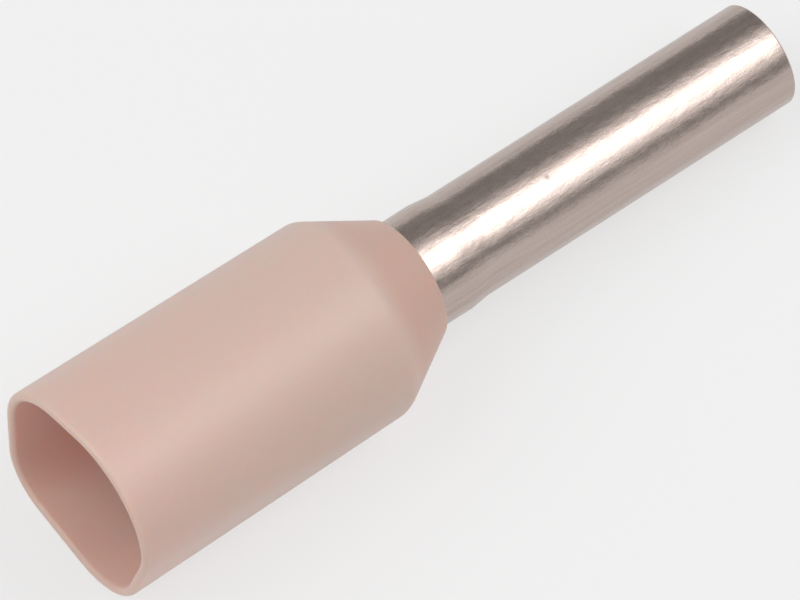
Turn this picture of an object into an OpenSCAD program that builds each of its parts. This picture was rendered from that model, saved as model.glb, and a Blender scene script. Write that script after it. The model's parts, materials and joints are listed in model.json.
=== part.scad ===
// Insulated wire ferrule for a 1.5 mm2 conductor, lying at rest.
// A tinned copper sleeve, flared at its wire entry, is held in a thin moulded collar. Each piece is
// drawn standing along Z, with the collar's mouth at Z = 0, and then laid down: it rests on the flat
// underside of its shoulder and on the lower edge of its tip, with +X running from mouth to tip.
// In the standing pieces +X faces down once laid, and angles run from there towards +Y.

/* [Sleeve] */
// Outside diameter of the pin
pin_d = 1.96; // [1.9:0.02:2.1]
// Thickness of the sleeve's metal
sleeve_wall = 0.13; // [0.12:0.01:0.18]
// Length of pin outside the collar
pin_l = 7.75; // [6:0.25:12]
// Radius of the flared rim
flare_r = 1.55; // [1.4:0.01:1.57]
// Extra radius of the swollen root where it leaves its seat
root_swell = 0.04; // [0.02:0.005:0.05]
// How much wider the swollen root grows by its outer end
root_taper = 0.005; // [0.002:0.001:0.01]
// Length of the swollen root outside the collar
root_l = 0.7; // [0.4:0.1:1.2]
// Length over which the swelling then runs out
root_fade = 0.4; // [0.1:0.1:0.6]
// Radius that softens the cut edges of the tip
tip_round = 0.04; // [0.02:0.01:0.06]
// Distance of the sleeve's axis from the collar's, to the side
sleeve_offset = 0.05; // [0:0.01:0.06]

/* [Collar] */
// Length of the collar from mouth to neck
collar_l = 7.1; // [6.8:0.05:7.4]
// Thickness of the plastic
collar_wall = 0.18; // [0.16:0.01:0.22]
// Distance from the mouth to the shoulder's edge
shoulder_s = 5.8; // [5.6:0.01:5.85]
// Radius at the shoulder's edge
shoulder_r = 1.885; // [1.86:0.005:1.95]
// Thickness of the plastic round the sleeve at the small end
neck_wall = 0.11; // [0.09:0.01:0.15]
// Rounding along the shoulder's edge
shoulder_round = 0.3; // [0.25:0.05:0.45]
// Rounding of the small end's edge
neck_round = 0.06; // [0.03:0.01:0.08]

/* [Out of round] */
// Reach of the soft mouth's four corners from the axis: low +Y, high +Y, high -Y, low -Y
mouth_reach = [2.03, 1.93, 2.18, 2]; // [1.85:0.01:2.25]
// Radius of each of those corners
mouth_corner = [1, 1.6, 1.6, 1.37]; // [0.9:0.01:1.7]
// Radius of the shoulder's two low corners; the smaller, the wider the flat that it rests on
shoulder_low_corner = 1.6; // [1.5:0.01:1.7]
// Radius of the shoulder's two high corners
shoulder_high_corner = 1.8; // [1.75:0.01:1.85]

/* [Hidden] */

$fn = 96;
around = 96;       // points round the collar
edge_steps = 5;    // steps along a rounded edge
lip_steps = 12;    // steps round the lip
tip_steps = 6;     // steps round the softened edges of the tip
ledge = 0.01;      // how far the collar's ledge lies behind the sleeve's rim
past = 1;          // how far the wire's way is cut past the sleeve's ends

pin_r = pin_d / 2;
root_r = pin_r + root_swell;
root_end_r = root_r + root_taper;
bore_r = pin_r - sleeve_wall;
neck_r = root_r + neck_wall;
total_l = collar_l + pin_l;
lip_r = collar_wall / 2;

// The cone of the shoulder, and the same cone one wall further in, where the sleeve's flare seats
cone = atan((shoulder_r - neck_r) / (collar_l - shoulder_s));
seat_inset = collar_wall / cos(cone);
seat_top = collar_l - (seat_inset - neck_wall) / tan(cone);
rim_s = seat_top - (flare_r - root_r) / tan(cone);
entry_top = seat_top + sleeve_wall * tan(cone / 2);
rim_inner_r = bore_r + (entry_top - rim_s) * tan(cone);

// The shoulder's section has the mouth's four corners, all but round above and flatter below
shoulder_reach = [shoulder_r, shoulder_r, shoulder_r, shoulder_r];
shoulder_corner = [shoulder_low_corner, shoulder_high_corner, shoulder_high_corner, shoulder_low_corner];

// Centre of the arc at corner i, given how far each corner reaches and its radius
function corner_at(i, reach, corner) = (reach[i] - corner[i]) * [cos(45 + 90 * i), sin(45 + 90 * i)];

// How far a four-cornered section reaches in direction a, and the point on it that faces direction a
function reaches(a, reach, corner) =
    [for (i = [0:3]) corner_at(i, reach, corner) * [cos(a), sin(a)] + corner[i]];
function extent(a, reach, corner) = max(reaches(a, reach, corner));
function facing(a, reach, corner) =
    let (r = reaches(a, reach, corner), i = search(max(r), r)[0])
    corner_at(i, reach, corner) + corner[i] * [cos(a), sin(a)];

// The collar's outline s along its axis, inset by g: it turns from the mouth's section to the shoulder's
function collar_point(a, s, g) =
    let (t = min(s / shoulder_s, 1))
    (1 - t) * facing(a, mouth_reach, mouth_corner) + t * facing(a, shoulder_reach, shoulder_corner)
    - g * [cos(a), sin(a)];
function ring(s, g) =
    [for (k = [0:around - 1]) let (p = collar_point(360 * k / around, s, g)) [p[0], p[1], s]];

// A round ring s along the axis, centred on the sleeve
function round_ring(s, r) =
    [for (k = [0:around - 1]) let (a = 360 * k / around) [r * cos(a), sleeve_offset + r * sin(a), s]];

// Rings over an edge that turns from the body's line to the cone's, centred r inside both lines
function edge_rings(corner_s, g, r) =
    [for (k = [0:edge_steps]) let (a = cone * k / edge_steps)
        [for (p = ring(corner_s, g + r * (1 - cos(a)))) [p[0], p[1], corner_s - r * tan(cone / 2) + r * sin(a)]]];

// Rings over the small end's edge, from the end face back to the cone; this end is moulded round the sleeve
neck_centre_r = neck_r + neck_round * (tan(cone) - 1 / cos(cone));
neck_rings = [for (k = [0:edge_steps]) let (a = 90 - (90 - cone) * k / edge_steps)
    round_ring(collar_l - neck_round * (1 - sin(a)), neck_centre_r + neck_round * cos(a))];

// Rings round the lip, from outside to inside
lip_rings = [for (k = [0:lip_steps]) let (a = 180 * k / lip_steps)
    ring(lip_r * (1 - sin(a)), lip_r * (1 - cos(a)))];

// Inside, the cone starts a little nearer the mouth, because the wall keeps its thickness
inner_s = shoulder_s - collar_wall * tan(cone / 2);
outer_edge = edge_rings(shoulder_s, 0, shoulder_round);
inner_edge = edge_rings(inner_s, collar_wall, shoulder_round - collar_wall);
floor_s = rim_s + ledge;
floor_ring = ring(floor_s, collar_wall + (floor_s - inner_s) * tan(cone));

function backwards(v) = [for (i = [len(v) - 1:-1:0]) v[i]];

// How far the part leans when it lies on its shoulder's edge and on the tip's lower edge
shoulder_low = extent(0, shoulder_reach, shoulder_corner);
edge_s = shoulder_s - shoulder_round * tan(cone / 2);
span = total_l - tip_round - edge_s;
drop = shoulder_low - shoulder_round - pin_r + tip_round;
lean = asin((shoulder_round - tip_round) / norm([span, drop])) + atan2(drop, span);
mouth_z = edge_s * sin(lean) + (shoulder_low - shoulder_round) * cos(lean) + shoulder_round;

// The origin lies under the middle of the part's box
mouth_low = extent(0, mouth_reach, mouth_corner);
x_min = lip_r * (cos(lean) - 1) - (mouth_low - lip_r) * sin(lean);
x_max = (total_l - tip_round) * cos(lean) + (pin_r - tip_round) * sin(lean) + tip_round;
mouth_x = -(x_min + x_max) / 2;
function widest(a) = max(extent(a, mouth_reach, mouth_corner), extent(a, shoulder_reach, shoulder_corner));
mouth_y = (widest(270) - widest(90)) / 2;

// A solid through a list of rings, closed by a fan at each end
module skin(rings) {
    n = len(rings[0]);
    last = len(rings) - 1;
    ends = [[0, 0, rings[0][0][2]], [0, 0, rings[last][0][2]]];
    points = concat([for (r = rings) each r], ends);
    walls = [for (j = [0:last - 1], k = [0:n - 1]) let (m = (k + 1) % n)
        each [[j * n + k, j * n + m, (j + 1) * n + m], [j * n + k, (j + 1) * n + m, (j + 1) * n + k]]];
    first_fan = [for (k = [0:n - 1]) [(k + 1) % n, k, len(points) - 2]];
    last_fan = [for (k = [0:n - 1]) [last * n + k, last * n + (k + 1) % n, len(points) - 1]];
    polyhedron(points, concat(walls, first_fan, last_fan));
}

// The sleeve's outer form without its bore, which is also the seat that it fills in the collar
module sleeve_form(foot) {
    rotate_extrude()
        polygon([
            [0, foot],
            [flare_r, foot],
            [flare_r, rim_s],
            [root_r, seat_top],
            [root_end_r, collar_l + root_l],
            [pin_r, collar_l + root_l + root_fade],
            for (k = [0:tip_steps]) let (a = 90 * k / tip_steps)
                [pin_r - tip_round * (1 - cos(a)), total_l - tip_round * (1 - sin(a))],
            [0, total_l]
        ]);
}

// The wire's way through the sleeve: a funnel, then the bore
module wire_way() {
    rotate_extrude()
        polygon([
            [0, rim_s - past],
            [rim_inner_r, rim_s - past],
            [rim_inner_r, rim_s],
            [bore_r, entry_top],
            [bore_r, total_l + past],
            [0, total_l + past]
        ]);
}

// Lays a standing piece down in its resting place
module at_rest() {
    translate([mouth_x, mouth_y, mouth_z]) rotate([0, 90 + lean, 0]) children();
}

module sleeve() {
    color("#c9bfb8")
        at_rest()
            translate([0, sleeve_offset, 0])
                difference() {
                    sleeve_form(rim_s);
                    wire_way();
                }
}

module collar() {
    color("#f0d6cc")
        at_rest()
            difference() {
                skin(concat(neck_rings, backwards(outer_edge), lip_rings, inner_edge, [floor_ring]));
                translate([0, sleeve_offset, 0]) sleeve_form(rim_s - ledge);
            }
}

sleeve();
collar();
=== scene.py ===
"""Looks of an insulated wire ferrule: a soft pink collar, a drawn tin sleeve, and a white studio table.

Both pieces are drawn standing along Z with the collar's mouth at Z = 0, X facing down once laid, and are
then laid down along the ferrule's own axis, which the frame gives.
"""

import json
from math import atan2, cos, hypot, pi, radians, sin, tan

import bmesh
import bpy
from bpy.props import FloatProperty, FloatVectorProperty, PointerProperty
from mathutils import Matrix, Vector


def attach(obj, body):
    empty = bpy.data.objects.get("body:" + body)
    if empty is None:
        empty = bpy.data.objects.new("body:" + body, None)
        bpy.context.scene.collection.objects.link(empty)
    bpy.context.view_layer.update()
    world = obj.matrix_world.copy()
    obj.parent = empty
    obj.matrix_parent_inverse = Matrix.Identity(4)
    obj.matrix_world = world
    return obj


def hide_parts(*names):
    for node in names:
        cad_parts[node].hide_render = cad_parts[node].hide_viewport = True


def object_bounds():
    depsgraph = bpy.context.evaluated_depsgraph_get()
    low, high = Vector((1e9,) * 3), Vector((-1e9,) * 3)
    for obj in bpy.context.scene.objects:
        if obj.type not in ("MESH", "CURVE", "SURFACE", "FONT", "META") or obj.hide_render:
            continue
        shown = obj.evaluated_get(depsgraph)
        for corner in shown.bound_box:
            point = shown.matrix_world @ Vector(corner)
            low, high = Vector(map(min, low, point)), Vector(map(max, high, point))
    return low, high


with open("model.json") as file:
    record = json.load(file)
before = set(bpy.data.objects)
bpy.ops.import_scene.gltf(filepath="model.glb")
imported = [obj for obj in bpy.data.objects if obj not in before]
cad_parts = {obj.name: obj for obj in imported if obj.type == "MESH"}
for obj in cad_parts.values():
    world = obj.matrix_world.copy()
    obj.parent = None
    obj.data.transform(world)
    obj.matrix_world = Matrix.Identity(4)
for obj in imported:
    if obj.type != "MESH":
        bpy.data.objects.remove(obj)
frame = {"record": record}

bl_info = {
    "name": "Wire ferrule",
    "version": (1, 0, 0),
    "blender": (4, 5, 0),
    "location": "View3D > Sidebar > Ferrule",
    "description": "Builds an insulated wire ferrule over its packed frame",
    "category": "Add Mesh",
}

CAD_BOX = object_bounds()
MM = 0.001
BODY = "root"

# What the frame gives: the ferrule's own axis, and where its mouth, pin and bore lie along it
MOUNTS = {mount["name"]: mount for mount in frame["record"]["mounts"]}
MOUTH = Vector(MOUNTS["collar_mouth"]["pos_m"])
AXIS = Vector(MOUNTS["pin"]["axis"]).normalized()
LEAN = atan2(-AXIS.z, AXIS.x)
PIN_FROM_MOUTH = Vector(MOUNTS["pin"]["pos_m"]) - MOUTH
PIN_LENGTH = MOUNTS["pin"]["dims"]["length_mm"] * MM
PIN_RADIUS = MOUNTS["pin"]["dims"]["r_mm"] * MM
BORE_LENGTH = MOUNTS["conductor_bore"]["dims"]["length_mm"] * MM
BORE_RADIUS = MOUNTS["conductor_bore"]["dims"]["r_mm"] * MM
TOTAL_LENGTH = PIN_FROM_MOUTH.dot(AXIS) + PIN_LENGTH / 2
SLEEVE_OFFSET = PIN_FROM_MOUTH.y
LAID = Matrix.Translation(MOUTH) @ Matrix.Rotation(radians(90) + LEAN, 4, "Y")


def length(name, description, default):
    """A length that a user may change, in metres."""
    return FloatProperty(
        name=name, description=description, default=default, min=0, precision=5, unit="LENGTH"
    )


def colour(name, description, default):
    """A surface colour."""
    return FloatVectorProperty(
        name=name, description=description, default=default, min=0, max=1, subtype="COLOR"
    )


def factor(name, description, default):
    """A plain number from 0 to 1."""
    return FloatProperty(
        name=name, description=description, default=default, min=0, max=1, subtype="FACTOR"
    )


def corners(name, description, default):
    """One length for each corner: low +Y, high +Y, high -Y, low -Y."""
    return FloatVectorProperty(
        name=name, description=description, default=default, size=4, min=0, precision=5, unit="LENGTH"
    )


class CollarSettings(bpy.types.PropertyGroup):
    """Sizes and colours of the collar."""

    length: length("Length", "From the mouth to the neck", 7.1 * MM)
    wall: length("Wall", "Thickness of the plastic", 0.18 * MM)
    shoulder_along: length("Shoulder", "Distance from the mouth to the shoulder's edge", 5.8 * MM)
    shoulder_radius: length("Shoulder radius", "Radius at the shoulder's edge", 1.885 * MM)
    shoulder_round: length("Shoulder rounding", "Rounding along the shoulder's edge", 0.3 * MM)
    neck_wall: length("Neck wall", "Thickness of the plastic round the sleeve at the small end", 0.11 * MM)
    neck_round: length("Neck rounding", "Rounding of the small end's edge", 0.06 * MM)
    mouth_reach: corners(
        "Mouth reach", "Reach of the mouth's corners from the axis", [r * MM for r in (2.03, 1.93, 2.18, 2)]
    )
    mouth_corner: corners(
        "Mouth corners", "Radius of the mouth's corners", [r * MM for r in (1, 1.6, 1.6, 1.37)]
    )
    shoulder_corner: corners(
        "Shoulder corners", "Radius of the shoulder's corners", [r * MM for r in (1.6, 1.8, 1.8, 1.6)]
    )
    plastic: colour("Plastic", "Colour of the plastic", (0.87, 0.66, 0.58))
    # Darker end of the plastic's random flow, and painted shade: the same colour darkens the shoulder's
    # cone, standing in for the shade that falls there
    flow_and_cone_shade: colour("Deep plastic", "Colour where the plastic lies on the metal", (0.82, 0.52, 0.43))
    roughness: factor("Roughness", "Roughness of the moulded surface", 0.42)


class SleeveSettings(bpy.types.PropertyGroup):
    """Sizes and colours of the sleeve."""

    flare_radius: length("Flare radius", "Radius of the flared rim", 1.55 * MM)
    root_swell: length("Root swelling", "Extra radius of the swollen root in its seat", 0.04 * MM)
    root_taper: length("Root taper", "How much wider the root grows by its outer end", 0.005 * MM)
    root_length: length("Root length", "Length of the swollen root outside the collar", 0.7 * MM)
    root_fade: length("Root fade", "Length over which the swelling runs out", 0.4 * MM)
    tip_round: length("Tip rounding", "Radius that softens the cut edges of the tip", 0.04 * MM)
    tin: colour("Tin", "Colour of the tin plating", (0.56, 0.47, 0.43))
    tarnish: colour("Tarnish", "Colour of the duller drawn streaks", (0.40, 0.31, 0.27))
    roughness: factor("Roughness", "Roughness of the plating", 0.27)


class StageSettings(bpy.types.PropertyGroup):
    """The camera, the lamps and the table."""

    azimuth: FloatProperty(
        name="Azimuth", description="Heading of the camera from +Y", default=radians(38.051), subtype="ANGLE"
    )
    elevation: FloatProperty(
        name="Elevation", description="Height of the camera above the table", default=radians(61.913),
        subtype="ANGLE",
    )
    distance: length("Distance", "From the camera to the point that it looks at", 135 * MM)
    aim: FloatVectorProperty(
        name="Aim", description="The point that the camera looks at",
        default=[a * MM for a in (-0.5003, 0.0206, 1.3)], subtype="TRANSLATION", unit="LENGTH", precision=5,
    )
    lens: FloatProperty(
        name="Lens", description="Focal length of the camera", default=360, min=1, unit="CAMERA"
    )
    table: colour("Table", "Colour of the table", (0.9, 0.9, 0.9))
    table_glow: factor("Table glow", "Share of plain white in what the camera sees of the table", 0.62)
    ambient: FloatProperty(
        name="Ambient", description="Brightness of the room, where 1 is white", default=0.35, min=0
    )


# ---------------------------------------------------------------- meshes

AROUND = 192              # points round each piece
EDGE_STEPS = 8            # steps along a rounded edge
LEDGE_GAP = 0.01 * MM     # how far the collar's ledge lies behind the sleeve's rim
LIP_SHARE = 0.49          # share of the wall that each edge of the lip rounds off
SHARP = radians(40)       # an edge that turns by more than this stays sharp
SAME_PLACE = 1e-7         # points nearer than this are one
SAME_RADIUS = 1e-6        # points whose radii differ by less than this lie on one ring


def facing(direction, reach, corner):
    """The point where a four-cornered section faces direction, its first corner at 45 degrees."""
    turned = Vector((cos(direction), sin(direction)))
    best = None
    for i in range(4):
        stand = radians(45 + 90 * i)
        centre = (reach[i] - corner[i]) * Vector((cos(stand), sin(stand)))
        out = centre.dot(turned) + corner[i]
        if best is None or out > best[0]:
            best = (out, centre + corner[i] * turned)
    return best[1]


def edges_of(ring):
    """The edges that join a ring's own points."""
    points = set(ring)
    return list({edge for v in ring for edge in v.link_edges if edge.other_vert(v) in points})


def round_ring(bm, radius, along, sideways=0.0):
    """A round ring across the axis."""
    ring = bmesh.ops.create_circle(bm, cap_ends=False, segments=AROUND, radius=radius)["verts"]
    bmesh.ops.translate(bm, verts=ring, vec=(0, sideways, along))
    return ring


def collar_ring(bm, collar, along, inset):
    """A ring of the collar: its section turns from the mouth's to the shoulder's along the axis."""
    ring = round_ring(bm, 1.0, along)
    t = min(along / collar.shoulder_along, 1)
    shoulder_reach = [collar.shoulder_radius] * 4
    for v in ring:
        direction = atan2(v.co.y, v.co.x)
        at_mouth = facing(direction, collar.mouth_reach, collar.mouth_corner)
        at_shoulder = facing(direction, shoulder_reach, collar.shoulder_corner)
        place = at_mouth.lerp(at_shoulder, t) - inset * Vector((cos(direction), sin(direction)))
        v.co = (place.x, place.y, along)
    return ring


def bridge(bm, ring, other):
    """Faces between two rings."""
    bmesh.ops.bridge_loops(bm, edges=edges_of(ring) + edges_of(other))


def soften(bm, edges, offset, segments=EDGE_STEPS):
    """Rounds edges, offset being how far the rounding starts from them."""
    bmesh.ops.bevel(
        bm, geom=edges, offset=offset, offset_type="OFFSET", segments=segments, profile=0.5,
        affect="EDGES", clamp_overlap=False, material=-1,
    )


def divide_long(bm, longer_than, step):
    """Adds rings along stretches that are longer than longer_than, about step apart."""
    spans = {}
    for edge in bm.edges:
        a, b = (v.co for v in edge.verts)
        if abs(a.z - b.z) > longer_than:
            spans.setdefault(round(abs(a.z - b.z) / step), []).append(edge)
    for cuts, edges in spans.items():
        bmesh.ops.subdivide_edges(bm, edges=edges, cuts=cuts, use_grid_fill=True)


def finish_piece(bm, name, node, material):
    """Lays a standing mesh down in its place and makes it the piece that stands for a node."""
    bmesh.ops.remove_doubles(bm, verts=bm.verts, dist=SAME_PLACE)
    bmesh.ops.recalc_face_normals(bm, faces=bm.faces)
    for edge in bm.edges:
        edge.smooth = edge.calc_face_angle(0) < SHARP
    bmesh.ops.transform(bm, matrix=LAID, verts=bm.verts)
    mesh = bpy.data.meshes.new(name)
    bm.to_mesh(mesh)
    bm.free()
    mesh.shade_smooth()
    piece = bpy.data.objects.new(name, mesh)
    bpy.context.scene.collection.objects.link(piece)
    mesh.materials.append(material)
    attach(piece, BODY)
    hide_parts(node)
    return piece


class Seat:
    """The cone of the collar's shoulder, and the seat of the sleeve's flare one wall further in."""

    def __init__(self, collar, sleeve):
        self.root = PIN_RADIUS + sleeve.root_swell
        self.neck = self.root + collar.neck_wall
        run = collar.length - collar.shoulder_along
        self.cone = atan2(collar.shoulder_radius - self.neck, run)
        self.top = collar.length - (collar.wall / cos(self.cone) - collar.neck_wall) / tan(self.cone)
        self.rim = self.top - (sleeve.flare_radius - self.root) / tan(self.cone)
        self.inner_shoulder = collar.shoulder_along - collar.wall * tan(self.cone / 2)
        self.ledge = self.rim + LEDGE_GAP


def collar_mesh(collar, sleeve):
    """The collar as one closed skin, from its neck over the shoulder to the lip and back in to the seat."""
    seat = Seat(collar, sleeve)
    bm = bmesh.new()
    neck = round_ring(bm, seat.neck, collar.length, SLEEVE_OFFSET)
    shoulder = collar_ring(bm, collar, collar.shoulder_along, 0)
    lip_out = collar_ring(bm, collar, 0, 0)
    lip_in = collar_ring(bm, collar, 0, collar.wall)
    inner = collar_ring(bm, collar, seat.inner_shoulder, collar.wall)
    ledge_inset = collar.wall + (seat.ledge - seat.inner_shoulder) * tan(seat.cone)
    ledge = collar_ring(bm, collar, seat.ledge, ledge_inset)
    seat_rim = round_ring(bm, sleeve.flare_radius, seat.ledge, SLEEVE_OFFSET)
    seat_top = round_ring(bm, seat.root, seat.top, SLEEVE_OFFSET)
    neck_in = round_ring(bm, seat.root, collar.length, SLEEVE_OFFSET)
    rings = [neck, shoulder, lip_out, lip_in, inner, ledge, seat_rim, seat_top, neck_in]
    ring_edges = [edges_of(ring) for ring in rings]
    for ring, other in zip(rings, rings[1:] + rings[:1]):
        bridge(bm, ring, other)
    soften(bm, ring_edges[0], collar.neck_round * tan((pi / 2 - seat.cone) / 2))
    soften(bm, ring_edges[1], collar.shoulder_round * tan(seat.cone / 2))
    soften(bm, ring_edges[2] + ring_edges[3], LIP_SHARE * collar.wall)
    soften(bm, ring_edges[4], (collar.shoulder_round - collar.wall) * tan(seat.cone / 2))
    divide_long(bm, 0.8 * MM, 0.25 * MM)
    return bm


def sleeve_mesh(collar, sleeve):
    """The sleeve spun from its section: flare, seat, swollen root, pin, cut tip, bore and funnel."""
    seat = Seat(collar, sleeve)
    entry = TOTAL_LENGTH - BORE_LENGTH
    rim_in = BORE_RADIUS + (entry - seat.rim) * tan(seat.cone)
    root_end = collar.length + sleeve.root_length
    section = [
        (sleeve.flare_radius, seat.rim),
        (seat.root, seat.top),
        (seat.root + sleeve.root_taper, root_end),
        (PIN_RADIUS, root_end + sleeve.root_fade),
        (PIN_RADIUS, TOTAL_LENGTH),
        (BORE_RADIUS, TOTAL_LENGTH),
        (BORE_RADIUS, entry),
        (rim_in, seat.rim),
    ]
    bm = bmesh.new()
    points = [bm.verts.new((radius, 0, along)) for radius, along in section]
    edges = [bm.edges.new(pair) for pair in zip(points, points[1:] + points[:1])]
    bmesh.ops.spin(
        bm, geom=points + edges, cent=(0, 0, 0), axis=(0, 0, 1), angle=2 * pi, steps=AROUND, use_merge=True,
    )
    bmesh.ops.recalc_face_normals(bm, faces=bm.faces)
    tip_edges = []
    for edge in bm.edges:
        near, far = (hypot(*v.co.xy) for v in edge.verts)
        at_tip = all(abs(v.co.z - TOTAL_LENGTH) < SAME_PLACE for v in edge.verts)
        if at_tip and abs(near - far) < SAME_RADIUS:
            tip_edges.append(edge)
    soften(bm, tip_edges, sleeve.tip_round)
    divide_long(bm, 0.6 * MM, 0.2 * MM)
    bmesh.ops.translate(bm, verts=bm.verts, vec=(0, SLEEVE_OFFSET, 0))
    return bm


# ---------------------------------------------------------------- materials


def put(tree, kind, place, inputs=(), **settings):
    """A node at place, its settings and the given inputs set or linked."""
    node = tree.nodes.new(kind)
    node.location = place
    for name, value in settings.items():
        setattr(node, name, value)
    for name, value in dict(inputs).items():
        if isinstance(value, bpy.types.NodeSocket):
            tree.links.new(value, node.inputs[name])
        else:
            node.inputs[name].default_value = value
    return node


def reckoned(tree, place, operation, *values, **settings):
    """The result of one step of arithmetic."""
    return put(
        tree, "ShaderNodeMath", place, enumerate(values), operation=operation, **settings
    ).outputs[0]


def new_group(name, inputs, outputs):
    """An empty shader node group with named inputs (name, kind, default) and outputs (name, kind)."""
    group = bpy.data.node_groups.new(name, "ShaderNodeTree")
    for label, kind, default in inputs:
        socket = group.interface.new_socket(label, in_out="INPUT", socket_type=kind)
        if default is not None:
            socket.default_value = default
    for label, kind in outputs:
        group.interface.new_socket(label, in_out="OUTPUT", socket_type=kind)
    given = put(group, "NodeGroupInput", (-900, 0)).outputs
    out = put(group, "NodeGroupOutput", (700, 0)).inputs
    return group, given, out


def own_place(tree, place):
    """Place on a piece in millimetres along the ferrule's own axes: X down, Y aside, Z from the mouth."""
    on_piece = put(tree, "ShaderNodeTexCoord", place).outputs["Object"]
    return put(
        tree, "ShaderNodeMapping", (place[0] + 200, place[1]), {
            "Vector": on_piece, "Location": MOUTH, "Rotation": (0, radians(90) + LEAN, 0),
            "Scale": (MM, MM, MM),
        }, vector_type="TEXTURE",
    ).outputs["Vector"]


def streaks_group():
    """Grain that is drawn out along the axis, as a value round 0.5."""
    group, given, out = new_group(
        "Drawn grain",
        [("Place", "NodeSocketVector", None), ("Fineness", "NodeSocketFloat", 10),
         ("Drawn out", "NodeSocketFloat", 8), ("Detail", "NodeSocketFloat", 4),
         ("Contrast", "NodeSocketFloat", 1)],
        [("Grain", "NodeSocketFloat")],
    )
    short = reckoned(group, (-650, -200), "DIVIDE", 1.0, given["Drawn out"])
    stretch = put(group, "ShaderNodeCombineXYZ", (-450, -200), {"X": 1, "Y": 1, "Z": short})
    drawn = put(
        group, "ShaderNodeVectorMath", (-250, 0), {0: given["Place"], 1: stretch.outputs[0]},
        operation="MULTIPLY",
    ).outputs[0]
    grain = put(
        group, "ShaderNodeTexNoise", (-50, 0),
        {"Vector": drawn, "Scale": given["Fineness"], "Detail": given["Detail"], "Roughness": 0.6},
    ).outputs["Fac"]
    centred = reckoned(group, (150, 0), "SUBTRACT", grain, 0.5)
    stronger = reckoned(group, (320, 0), "MULTIPLY", centred, given["Contrast"])
    lifted = reckoned(group, (490, 0), "ADD", stronger, 0.5, use_clamp=True)
    group.links.new(lifted, out["Grain"])
    return group


def band_group():
    """A soft band across the ferrule between two distances along it, as a mask."""
    group, given, out = new_group(
        "Band across",
        [("Along", "NodeSocketFloat", 0), ("From", "NodeSocketFloat", 0), ("To", "NodeSocketFloat", 1),
         ("Softness", "NodeSocketFloat", 0.1)],
        [("Mask", "NodeSocketFloat")],
    )
    ends = reckoned(group, (-650, 150), "ADD", given["From"], given["To"])
    middle = reckoned(group, (-480, 150), "MULTIPLY", ends, 0.5)
    width = reckoned(group, (-650, -50), "SUBTRACT", given["To"], given["From"])
    half_width = reckoned(group, (-480, -50), "MULTIPLY", width, 0.5)
    off = reckoned(group, (-300, 150), "SUBTRACT", given["Along"], middle)
    far = reckoned(group, (-130, 150), "ABSOLUTE", off)
    outer = reckoned(group, (-130, -50), "ADD", half_width, given["Softness"])
    inner = reckoned(group, (-130, -220), "SUBTRACT", half_width, given["Softness"])
    mask = put(
        group, "ShaderNodeMapRange", (100, 0), {
            "Value": far, "From Min": outer, "From Max": inner,
            "To Min": 0.0, "To Max": 1.0,
        }, interpolation_type="SMOOTHSTEP",
    )
    group.links.new(mask.outputs["Result"], out["Mask"])
    return group


def specks_group():
    """Small scattered specks, as a mask."""
    group, given, out = new_group(
        "Specks",
        [("Place", "NodeSocketVector", None), ("Fineness", "NodeSocketFloat", 2),
         ("Size", "NodeSocketFloat", 0.1)],
        [("Mask", "NodeSocketFloat")],
    )
    cells = put(
        group, "ShaderNodeTexVoronoi", (-500, 0), {"Vector": given["Place"], "Scale": given["Fineness"]}
    )
    own = put(group, "ShaderNodeSeparateColor", (-300, -150), {"Color": cells.outputs["Color"]})
    size = reckoned(group, (-130, -150), "MULTIPLY", own.outputs["Red"], given["Size"])
    mask = put(
        group, "ShaderNodeMapRange", (100, 0), {
            "Value": cells.outputs["Distance"], "From Min": size, "From Max": 0.0,
            "To Min": 0.0, "To Max": 1.0,
        }, interpolation_type="SMOOTHSTEP",
    )
    group.links.new(mask.outputs["Result"], out["Mask"])
    return group


GROUPS = {"streaks": streaks_group, "band": band_group, "specks": specks_group}


def effect(tree, name, place, inputs=()):
    """A shared effect, its group built the first time that it is used."""
    made = GROUPS[name]
    if callable(made):
        GROUPS[name] = made = made()
    return put(tree, "ShaderNodeGroup", place, inputs, node_tree=made).outputs


def mixed(tree, place, amount, first, second, blend="MIX"):
    """A colour mix."""
    node = put(tree, "ShaderNodeMix", place, data_type="RGBA", blend_type=blend)
    for socket, value in ((0, amount), (6, first), (7, second)):
        if isinstance(value, bpy.types.NodeSocket):
            tree.links.new(value, node.inputs[socket])
        elif socket == 0:
            node.inputs[socket].default_value = value
        else:
            node.inputs[socket].default_value = (*value, 1)
    return node.outputs[2]


def scaled(tree, place, value, low, high):
    """A value from 0 to 1, spread over low to high."""
    return put(
        tree, "ShaderNodeMapRange", place, {"Value": value, "To Min": low, "To Max": high}
    ).outputs["Result"]


def new_material(name):
    """A material and its shader."""
    material = bpy.data.materials.new(name)
    material.use_nodes = True
    shader = material.node_tree.nodes["Principled BSDF"]
    return material, material.node_tree, shader


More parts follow.
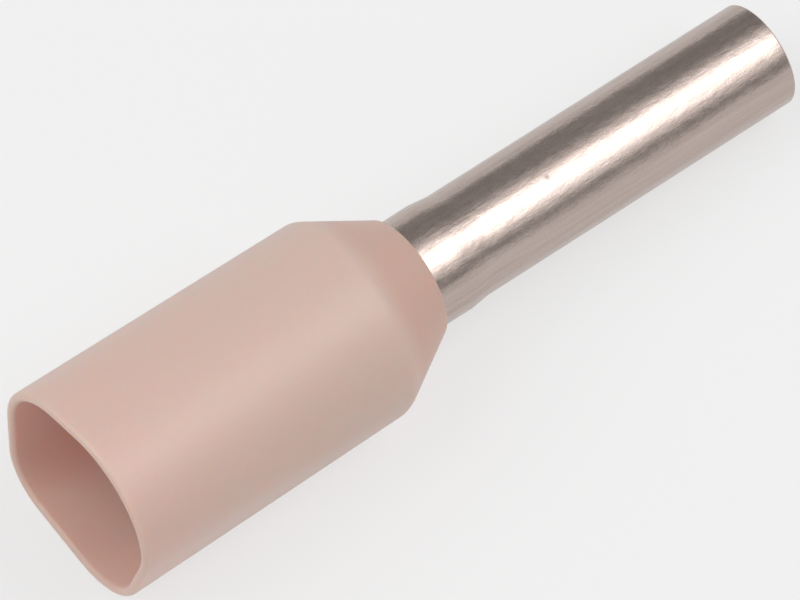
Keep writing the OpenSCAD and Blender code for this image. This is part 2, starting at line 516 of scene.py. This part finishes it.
def plastic_material(collar):
    """Satin, slightly translucent moulded plastic, with painted shade over the shoulder's cone."""
    material, tree, shader = new_material("pink_plastic")
    place = own_place(tree, (-1700, 0))
    along = put(tree, "ShaderNodeSeparateXYZ", (-1400, -400), {"Vector": place}).outputs["Z"]
    flow = effect(tree, "streaks", (-1200, 200), {
        "Place": place, "Fineness": 0.9, "Drawn out": 4.0, "Detail": 2.0, "Contrast": 1.2,
    })["Grain"]
    grain = effect(tree, "streaks", (-1200, -100), {
        "Place": place, "Fineness": 22.0, "Drawn out": 1.5, "Detail": 3.0, "Contrast": 1.0,
    })["Grain"]
    # Painted shade: a band over the shoulder's cone, from just past the shoulder to beyond the neck, that
    # marks where the plastic is darkened as if by shade
    painted_cone_shade = effect(tree, "band", (-1200, -400), {
        "Along": along, "From": collar.shoulder_along / MM + 0.2, "To": collar.length / MM + 1,
        "Softness": 0.3,
    })["Mask"]
    base = mixed(tree, (-800, 200), scaled(tree, (-1000, 250), flow, 0.0, 0.12), collar.plastic, collar.flow_and_cone_shade)
    # Painted shade: the cone's band takes up to 0.8 of the darker colour
    base = mixed(tree, (-600, 150), scaled(tree, (-800, -100), painted_cone_shade, 0.0, 0.8), base, collar.flow_and_cone_shade)
    tree.links.new(base, shader.inputs["Base Color"])
    rough = scaled(tree, (-600, -150), grain, collar.roughness - 0.05, collar.roughness + 0.05)
    tree.links.new(rough, shader.inputs["Roughness"])
    bump = put(
        tree, "ShaderNodeBump", (-300, -300), {"Height": grain, "Distance": 0.0004 * MM, "Strength": 1.0}
    )
    tree.links.new(bump.outputs["Normal"], shader.inputs["Normal"])
    shader.inputs["IOR"].default_value = 1.5
    shader.inputs["Subsurface Weight"].default_value = 1.0
    shader.inputs["Subsurface Radius"].default_value = (1.0, 0.45, 0.3)
    shader.inputs["Subsurface Scale"].default_value = 0.25 * MM
    return material


def tin_material(sleeve):
    """Drawn tin plating with a light grain, fine lines and a few specks."""
    material, tree, shader = new_material("tinned_copper")
    place = own_place(tree, (-1900, 0))
    lines = effect(tree, "streaks", (-1400, 400), {
        "Place": place, "Fineness": 9.0, "Drawn out": 25.0, "Detail": 6.0, "Contrast": 2.2,
    })["Grain"]
    grain = effect(tree, "streaks", (-1400, 100), {
        "Place": place, "Fineness": 11.0, "Drawn out": 2.5, "Detail": 5.0, "Contrast": 1.6,
    })["Grain"]
    specks = effect(tree, "specks", (-1400, -200), {"Place": place, "Fineness": 1.1, "Size": 0.1})["Mask"]
    base = mixed(tree, (-900, 300), scaled(tree, (-1100, 350), lines, 0.0, 0.6), sleeve.tin, sleeve.tarnish)
    base = mixed(tree, (-700, 250), scaled(tree, (-900, 0), specks, 0.0, 0.7), base, (0.12, 0.08, 0.06))
    tree.links.new(base, shader.inputs["Base Color"])
    rough = scaled(tree, (-700, -50), grain, sleeve.roughness - 0.08, sleeve.roughness + 0.08)
    tree.links.new(rough, shader.inputs["Roughness"])
    fine = put(
        tree, "ShaderNodeBump", (-600, -350), {"Height": grain, "Distance": 0.004 * MM, "Strength": 0.8}
    )
    drawn = put(
        tree, "ShaderNodeBump", (-350, -350),
        {"Height": lines, "Distance": 0.002 * MM, "Strength": 0.5, "Normal": fine.outputs["Normal"]},
    )
    tree.links.new(drawn.outputs["Normal"], shader.inputs["Normal"])
    shader.inputs["Metallic"].default_value = 1.0
    return material


def seen_white(tree, place):
    """1 for a camera, glossy or transmission ray, which shows the white background, and 0 for others."""
    rays = put(tree, "ShaderNodeLightPath", place).outputs
    x, y = place
    either = reckoned(tree, (x + 200, y), "MAXIMUM", rays["Is Camera Ray"], rays["Is Glossy Ray"])
    return reckoned(tree, (x + 400, y), "MAXIMUM", either, rays["Is Transmission Ray"])


def table_material(stage):
    """A pale table that keeps the soft shadow, and looks white beyond it."""
    material, tree, shader = new_material("white_table")
    shader.inputs["Base Color"].default_value = (*stage.table, 1)
    shader.inputs["Roughness"].default_value = 1.0
    shader.inputs["Specular IOR Level"].default_value = 0.0
    white = put(tree, "ShaderNodeEmission", (0, -300), {"Color": (1, 1, 1, 1), "Strength": 1.0})
    seen = reckoned(tree, (100, 200), "MULTIPLY", seen_white(tree, (-500, 200)), stage.table_glow)
    mix = put(tree, "ShaderNodeMixShader", (300, 0), {0: seen})
    tree.links.new(shader.outputs[0], mix.inputs[1])
    tree.links.new(white.outputs[0], mix.inputs[2])
    tree.links.new(mix.outputs[0], tree.nodes["Material Output"].inputs["Surface"])
    return material


# ---------------------------------------------------------------- stage

MIDDLE = (CAD_BOX[0] + CAD_BOX[1]) / 2
LAMP_DISTANCE = 120 * MM
FLAG_DISTANCE = 130 * MM
TABLE_SIZE = 4

# Name, direction from the part, width, height, and brightness, where 1 looks white
LAMPS = (
    ("overhead", (0.40, -0.34, 0.85), 90 * MM, 60 * MM, 2.4),
    ("side", (-0.5, 0.35, 0.8), 90 * MM, 90 * MM, 1.6),
)
# The same for the grey cards that make the tube's dark bands
FLAGS = (
    ("dark_flag_left", (0.36, 0.75, 0.55), 240 * MM, 130 * MM, 0.3),
    ("dark_flag_right", (0.36, -0.88, 0.30), 200 * MM, 50 * MM, 0.3),
)


def face_part(thing, direction, distance):
    """Stands a lamp or a card off in a direction, turned to the part's middle."""
    towards = Vector(direction).normalized()
    thing.location = MIDDLE + towards * distance
    thing.rotation_euler = towards.to_track_quat("Z", "Y").to_euler()


def softbox(name, direction, width, height, brightness):
    """A rectangular lamp of even brightness."""
    lamp = bpy.data.lights.new(name, "AREA")
    lamp.shape = "RECTANGLE"
    lamp.size = width
    lamp.size_y = height
    lamp.energy = brightness * pi * width * height
    holder = bpy.data.objects.new(name, lamp)
    bpy.context.scene.collection.objects.link(holder)
    face_part(holder, direction, LAMP_DISTANCE)
    holder.visible_camera = False


def room(stage):
    """A plain room: even light on the part, white behind it."""
    world = bpy.data.worlds.new("room")
    world.use_nodes = True
    bpy.context.scene.world = world
    tree = world.node_tree
    background = tree.nodes["Background"]
    level = put(tree, "ShaderNodeMapRange", (-200, 0), {
        "Value": seen_white(tree, (-800, 0)), "To Min": stage.ambient, "To Max": 1.0,
    })
    background.inputs["Color"].default_value = (1, 1, 1, 1)
    tree.links.new(level.outputs["Result"], background.inputs["Strength"])


def camera(stage):
    """The camera."""
    data = bpy.data.cameras.new("camera")
    data.lens = stage.lens
    data.sensor_width = 36
    data.clip_start = stage.distance * 0.01
    data.clip_end = stage.distance * 100
    holder = bpy.data.objects.new("camera", data)
    bpy.context.scene.collection.objects.link(holder)
    level = Vector((sin(stage.azimuth), cos(stage.azimuth), 0))
    forward = level * cos(stage.elevation) - Vector((0, 0, sin(stage.elevation)))
    holder.location = Vector(stage.aim) - forward * stage.distance
    holder.rotation_euler = forward.to_track_quat("-Z", "Y").to_euler()
    bpy.context.scene.camera = holder


def card_of(name, width, height):
    """A flat card that is part of the stage."""
    bm = bmesh.new()
    bmesh.ops.create_grid(bm, x_segments=1, y_segments=1, size=0.5)
    bmesh.ops.scale(bm, verts=bm.verts, vec=(width, height, 1))
    mesh = bpy.data.meshes.new(name)
    bm.to_mesh(mesh)
    bm.free()
    card = bpy.data.objects.new(name, mesh)
    bpy.context.scene.collection.objects.link(card)
    return card


def flag(name, direction, width, height, shade):
    """A grey card that only reflections show."""
    card = card_of(name, width, height)
    material, tree, _ = new_material(name)
    tree.links.new(
        put(tree, "ShaderNodeEmission", (0, -200), {"Color": (shade, shade, shade, 1)}).outputs[0],
        tree.nodes["Material Output"].inputs["Surface"],
    )
    card.data.materials.append(material)
    face_part(card, direction, FLAG_DISTANCE)
    card.visible_camera = card.visible_diffuse = False
    card.visible_transmission = card.visible_shadow = False


def table(stage):
    """The table that the part lies on."""
    top = card_of("table", TABLE_SIZE, TABLE_SIZE)
    top.data.materials.append(table_material(stage))


# ---------------------------------------------------------------- operators


class FERRULE_OT_stage(bpy.types.Operator):
    """Sets up the camera, the lamps, the room and the table"""

    bl_idname = "ferrule.stage"
    bl_label = "Stage"

    def execute(self, context):
        stage = context.scene.ferrule_stage
        camera(stage)
        table(stage)
        room(stage)
        for lamp in LAMPS:
            softbox(*lamp)
        for card in FLAGS:
            flag(*card)
        context.scene.view_settings.view_transform = "Standard"
        return {"FINISHED"}


class FERRULE_OT_collar(bpy.types.Operator):
    """Builds the moulded collar"""

    bl_idname = "ferrule.collar"
    bl_label = "Collar"

    def execute(self, context):
        collar, sleeve = context.scene.ferrule_collar, context.scene.ferrule_sleeve
        finish_piece(
            collar_mesh(collar, sleeve), "moulded_collar", "collar", plastic_material(collar)
        )
        return {"FINISHED"}


class FERRULE_OT_sleeve(bpy.types.Operator):
    """Builds the tinned sleeve"""

    bl_idname = "ferrule.sleeve"
    bl_label = "Sleeve"

    def execute(self, context):
        collar, sleeve = context.scene.ferrule_collar, context.scene.ferrule_sleeve
        finish_piece(
            sleeve_mesh(collar, sleeve), "tinned_sleeve", "sleeve", tin_material(sleeve)
        )
        return {"FINISHED"}


class FERRULE_PT_panel(bpy.types.Panel):
    """Lists the ferrule's pieces"""

    bl_idname = "FERRULE_PT_panel"
    bl_label = "Wire ferrule"
    bl_space_type = "VIEW_3D"
    bl_region_type = "UI"
    bl_category = "Ferrule"

    def draw(self, context):
        for operator in OPERATORS:
            self.layout.operator(operator.bl_idname)
        for name in SETTINGS:
            group = getattr(context.scene, name)
            box = self.layout.box()
            for key in group.bl_rna.properties.keys():
                if key not in ("rna_type", "name"):
                    box.prop(group, key)


OPERATORS = (FERRULE_OT_stage, FERRULE_OT_collar, FERRULE_OT_sleeve)
SETTINGS = {
    "ferrule_collar": CollarSettings, "ferrule_sleeve": SleeveSettings, "ferrule_stage": StageSettings,
}
CLASSES = (*SETTINGS.values(), *OPERATORS, FERRULE_PT_panel)


def register():
    for cls in CLASSES:
        bpy.utils.register_class(cls)
    for name, cls in SETTINGS.items():
        setattr(bpy.types.Scene, name, PointerProperty(type=cls))


def unregister():
    for name in SETTINGS:
        delattr(bpy.types.Scene, name)
    for cls in reversed(CLASSES):
        bpy.utils.unregister_class(cls)


def main():
    register()
    bpy.ops.ferrule.stage()
    bpy.ops.ferrule.collar()
    bpy.ops.ferrule.sleeve()


if __name__ == "__main__":
    main()
